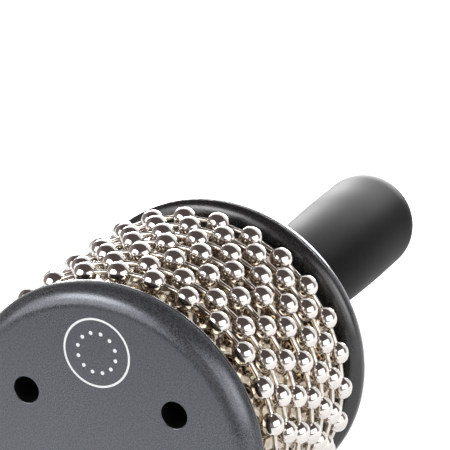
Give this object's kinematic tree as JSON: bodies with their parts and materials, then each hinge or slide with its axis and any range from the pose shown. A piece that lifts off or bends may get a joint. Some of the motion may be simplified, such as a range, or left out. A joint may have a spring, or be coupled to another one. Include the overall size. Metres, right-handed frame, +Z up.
{
  "type": "cabasa",
  "caption": "Handheld cabasa shaker: closed loops of steel ball chain round a textured steel drum between moulded end caps, on a rounded plastic handle.",
  "frame": {"origin": "middle of the underside of the whole part's box: below the middle of its length, at the level of the lowest beads", "axes": "+Z up; +Y along the head's axis from the front cap to the handle's tip; +X to the right as seen from the front cap's side"},
  "size_m": [0.0844, 0.1766, 0.0845],
  "materials": {
    "cap_plastic": "dark grey moulded plastic with a very fine satin grain",
    "flange_plastic": "black moulded plastic, satin",
    "core_plastic": "black moulded plastic, matte",
    "handle_plastic": "near-black moulded plastic, smooth satin",
    "sleeve_steel": "stainless steel sheet with a stamped crosshatch texture",
    "bead_nickel": "bright nickel plate, polished",
    "link_nickel": "bright nickel plate, drawn wire",
    "screw_steel": "zinc-plated steel",
    "insert_brass": "plain turned brass"
  },
  "bodies": {
    "head": {"front_cap": "cap_plastic", "rear_cap": "cap_plastic", "front_flange": "flange_plastic", "rear_flange": "flange_plastic", "drum_core": "core_plastic", "steel_sleeve": "sleeve_steel", "cap_screws": "screw_steel", "screw_inserts": "insert_brass", "handle_shell": "handle_plastic", "handle_hub": "core_plastic", "hub_insert": "insert_brass", "handle_bolt": "screw_steel", "bolt_washer": "screw_steel"},
    "loop_1": {"loop_1_beads": "bead_nickel", "loop_1_links": "link_nickel"},
    "loop_2": {"loop_2_beads": "bead_nickel", "loop_2_links": "link_nickel"},
    "loop_3": {"loop_3_beads": "bead_nickel", "loop_3_links": "link_nickel"},
    "loop_4": {"loop_4_beads": "bead_nickel", "loop_4_links": "link_nickel"},
    "loop_5": {"loop_5_beads": "bead_nickel", "loop_5_links": "link_nickel"},
    "loop_6": {"loop_6_beads": "bead_nickel", "loop_6_links": "link_nickel"},
    "loop_7": {"loop_7_beads": "bead_nickel", "loop_7_links": "link_nickel"}
  },
  "joints": [
    {"name": "loop_1_turn", "type": "hinge", "parent": "head", "child": "loop_1", "pos_m": [0, -0.07295, 0.04225], "axis": [0, 1, 0], "continuous": true},
    {"name": "loop_2_turn", "type": "hinge", "parent": "head", "child": "loop_2", "pos_m": [0, -0.0663, 0.04225], "axis": [0, 1, 0], "continuous": true},
    {"name": "loop_3_turn", "type": "hinge", "parent": "head", "child": "loop_3", "pos_m": [0, -0.05879, 0.04225], "axis": [0, 1, 0], "continuous": true},
    {"name": "loop_4_turn", "type": "hinge", "parent": "head", "child": "loop_4", "pos_m": [0, -0.05116, 0.04225], "axis": [0, 1, 0], "continuous": true},
    {"name": "loop_5_turn", "type": "hinge", "parent": "head", "child": "loop_5", "pos_m": [0, -0.04476, 0.04225], "axis": [0, 1, 0], "continuous": true},
    {"name": "loop_6_turn", "type": "hinge", "parent": "head", "child": "loop_6", "pos_m": [0, -0.03823, 0.04225], "axis": [0, 1, 0], "continuous": true},
    {"name": "loop_7_turn", "type": "hinge", "parent": "head", "child": "loop_7", "pos_m": [0, -0.03215, 0.04225], "axis": [0, 1, 0], "continuous": true}
  ]
}
